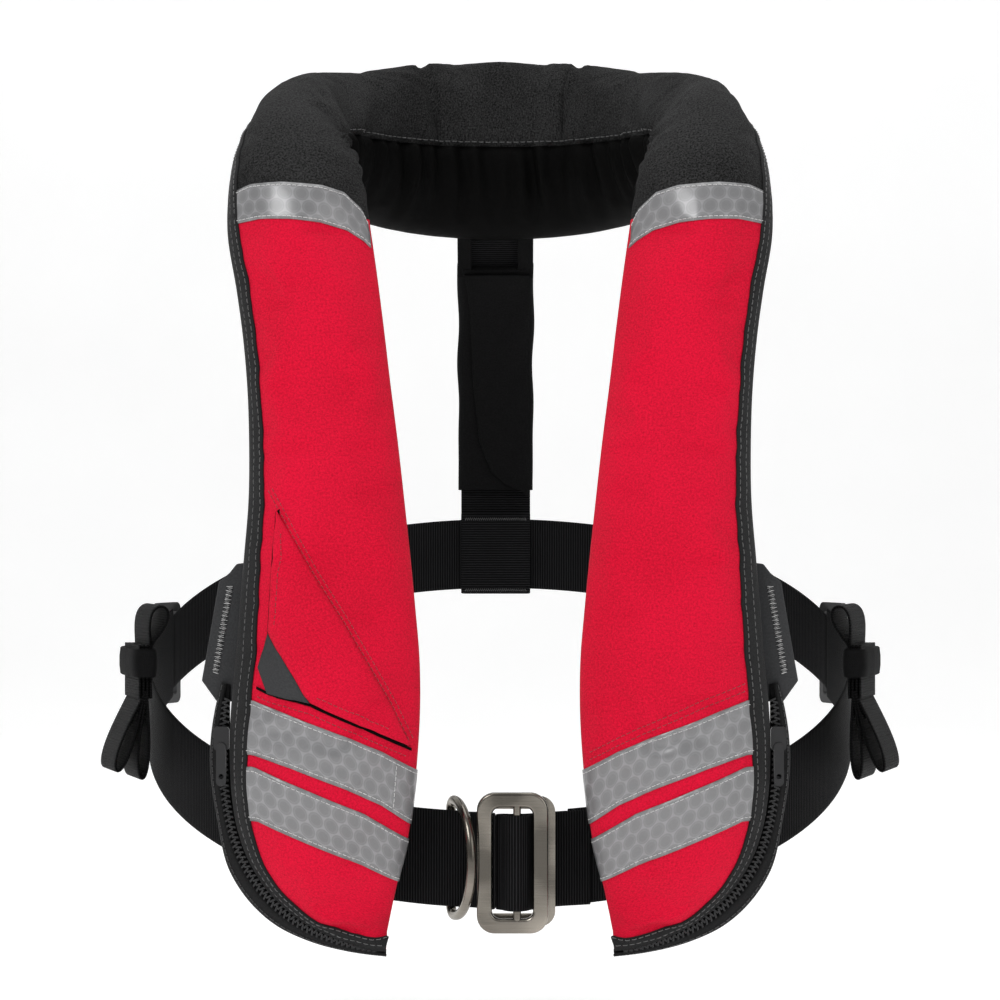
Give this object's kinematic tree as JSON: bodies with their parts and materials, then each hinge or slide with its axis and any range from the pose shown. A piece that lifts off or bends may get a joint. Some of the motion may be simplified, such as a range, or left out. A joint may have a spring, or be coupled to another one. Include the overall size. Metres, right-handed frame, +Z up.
{
  "type": "inflatable life jacket",
  "caption": "Horseshoe inflatable life jacket in worn shape: padded collar, two chest lobes, zip cover, waist belt with steel buckle, back strap and inflation gear inside.",
  "frame": {"origin": "middle of the neck opening, level with the lower edge of the collar at the nape", "axes": "+Z up, +Y towards the wearer's back, +X towards the wearer's left arm"},
  "size_m": [0.422, 0.2982, 0.4799],
  "materials": {
    "red_cover_cloth": "woven polyamide, matt",
    "black_cover_cloth": "woven polyamide, matt",
    "lining_cloth": "soft brushed knit",
    "reflective_tape": "silver reflective film on cloth",
    "binding_tape": "woven binding tape with two stitch rows",
    "webbing": "ribbed polyester webbing",
    "coated_tab": "rubber-coated cloth",
    "zip_plastic": "moulded plastic",
    "steel": "polished stainless steel",
    "cylinder_steel": "painted steel",
    "gear_plastic": "moulded plastic",
    "signal_plastic": "yellow moulded plastic",
    "bladder_cloth": "coated yellow polyamide",
    "tube_rubber": "rubber",
    "elastic": "woven elastic"
  },
  "bodies": {
    "jacket": {"back_belt": "webbing", "back_strap": "webbing", "back_strap_loop": "webbing", "back_strap_sleeve": "black_cover_cloth", "collar_centre_panel": "black_cover_cloth", "collar_edge_binding": "binding_tape", "collar_lining": "lining_cloth", "inflation_bladder": "bladder_cloth", "inflator_body": "gear_plastic", "left_belt_adjuster": "gear_plastic", "left_belt_loop": "webbing", "left_collar_panel": "black_cover_cloth", "left_edge_binding": "binding_tape", "left_front_belt": "webbing", "left_lobe_back_panel": "black_cover_cloth", "left_lobe_cover": "red_cover_cloth", "left_lower_tape_1": "reflective_tape", "left_lower_tape_2": "reflective_tape", "left_side_tab": "coated_tab", "left_upper_tape": "reflective_tape", "left_zip_strip": "binding_tape", "left_zip_teeth": "zip_plastic", "lever_pin": "steel", "oral_tube": "tube_rubber", "right_belt_adjuster": "gear_plastic", "right_belt_loop": "webbing", "right_collar_panel": "black_cover_cloth", "right_edge_binding": "binding_tape", "right_front_belt": "webbing", "right_lobe_back_panel": "black_cover_cloth", "right_lobe_cover": "red_cover_cloth", "right_lower_tape_1": "reflective_tape", "right_lower_tape_2": "reflective_tape", "right_side_tab": "coated_tab", "right_upper_tape": "reflective_tape", "right_zip_strip": "binding_tape", "right_zip_teeth": "zip_plastic", "whistle": "signal_plastic", "whistle_lanyard": "signal_plastic"},
    "access_flap": {"access_flap": "red_cover_cloth", "flap_pull_corner": "coated_tab"},
    "buckle_frame": {"buckle_frame": "steel"},
    "buckle_plate": {"buckle_plate": "steel"},
    "d_ring": {"d_ring": "steel"},
    "left_zip_slider": {"left_zip_slider": "zip_plastic"},
    "right_zip_slider": {"right_zip_slider": "zip_plastic"},
    "left_webbing_tail": {"left_webbing_tail": "webbing"},
    "right_webbing_tail": {"right_webbing_tail": "webbing"},
    "left_tail_keeper": {"left_tail_keeper": "elastic"},
    "right_tail_keeper": {"right_tail_keeper": "elastic"},
    "back_strap_adjuster": {"back_strap_adjuster": "gear_plastic"},
    "gas_cylinder": {"gas_cylinder": "cylinder_steel"},
    "auto_cartridge": {"auto_cartridge": "signal_plastic"},
    "inflator_lever": {"inflator_lever": "signal_plastic"},
    "pull_handle": {"pull_handle": "signal_plastic", "pull_cord": "signal_plastic"},
    "oral_cap": {"oral_cap": "gear_plastic"},
    "oral_valve": {"oral_valve": "signal_plastic"}
  },
  "joints": [
    {"name": "access_flap_hinge", "type": "hinge", "parent": "jacket", "child": "access_flap", "pos_m": [-0.081, -0.1575, -0.212], "axis": [-0.4942, 0, 0.8693], "range_deg": [0, 100]},
    {"name": "buckle_frame_tilt", "type": "hinge", "parent": "jacket", "child": "buckle_frame", "pos_m": [0.0086, -0.126, -0.333], "axis": [0, 0, -1], "range_deg": [-9, 8]},
    {"name": "buckle_plate_tilt", "type": "hinge", "parent": "jacket", "child": "buckle_plate", "pos_m": [-0.006, -0.1165, -0.333], "axis": [0, 0, -1], "range_deg": [0, 7]},
    {"name": "d_ring_swing", "type": "hinge", "parent": "jacket", "child": "d_ring", "pos_m": [-0.025, -0.1046, -0.3326], "axis": [0, 0, 1], "range_deg": [-42, 0]},
    {"name": "left_zip_slider_run", "type": "slide", "parent": "jacket", "child": "left_zip_slider", "axis": [0, 0, -1], "range_m": [0, 0.015]},
    {"name": "left_tail_swing", "type": "hinge", "parent": "jacket", "child": "left_webbing_tail", "pos_m": [-0.188, -0.033, -0.226], "axis": [0, 1, 0], "range_deg": [0, 25]},
    {"name": "left_tail_keeper_slide", "type": "slide", "parent": "left_webbing_tail", "child": "left_tail_keeper", "axis": [0, 0, -1], "range_m": [0, 0.012]},
    {"name": "right_zip_slider_run", "type": "slide", "parent": "jacket", "child": "right_zip_slider", "axis": [0, 0, -1], "range_m": [0, 0.015]},
    {"name": "right_tail_swing", "type": "hinge", "parent": "jacket", "child": "right_webbing_tail", "pos_m": [0.188, -0.033, -0.226], "axis": [0, -1, 0], "range_deg": [0, 25]},
    {"name": "right_tail_keeper_slide", "type": "slide", "parent": "right_webbing_tail", "child": "right_tail_keeper", "axis": [0, 0, -1], "range_m": [0, 0.012]},
    {"name": "back_strap_adjuster_slide", "type": "slide", "parent": "jacket", "child": "back_strap_adjuster", "axis": [0, -0.4599, 0.888], "range_m": [-0.005, 0.014]},
    {"name": "gas_cylinder_screw", "type": "hinge", "parent": "jacket", "child": "gas_cylinder", "pos_m": [-0.095, -0.132, -0.15], "axis": [0, 0, 1], "continuous": true},
    {"name": "auto_cartridge_screw", "type": "hinge", "parent": "jacket", "child": "auto_cartridge", "pos_m": [-0.095, -0.132, -0.268], "axis": [0, 0, 1], "continuous": true},
    {"name": "inflator_lever_pull", "type": "hinge", "parent": "jacket", "child": "inflator_lever", "pos_m": [-0.107, -0.132, -0.244], "axis": [1, 0, 0], "range_deg": [0, 90]},
    {"name": "pull_handle_travel", "type": "slide", "parent": "jacket", "child": "pull_handle", "axis": [0, 0, -1], "range_m": [0, 0.0149]},
    {"name": "oral_cap_lift", "type": "slide", "parent": "jacket", "child": "oral_cap", "axis": [0, 0, 1], "range_m": [0, 0.02]},
    {"name": "oral_valve_press", "type": "slide", "parent": "jacket", "child": "oral_valve", "axis": [0, 0, -1], "range_m": [0, 0.004], "stiffness_N_per_m": 400}
  ],
  "couplings": [
    {"joint": "inflator_lever_pull", "follows": "pull_handle_travel", "rad_per_m": 105}
  ]
}
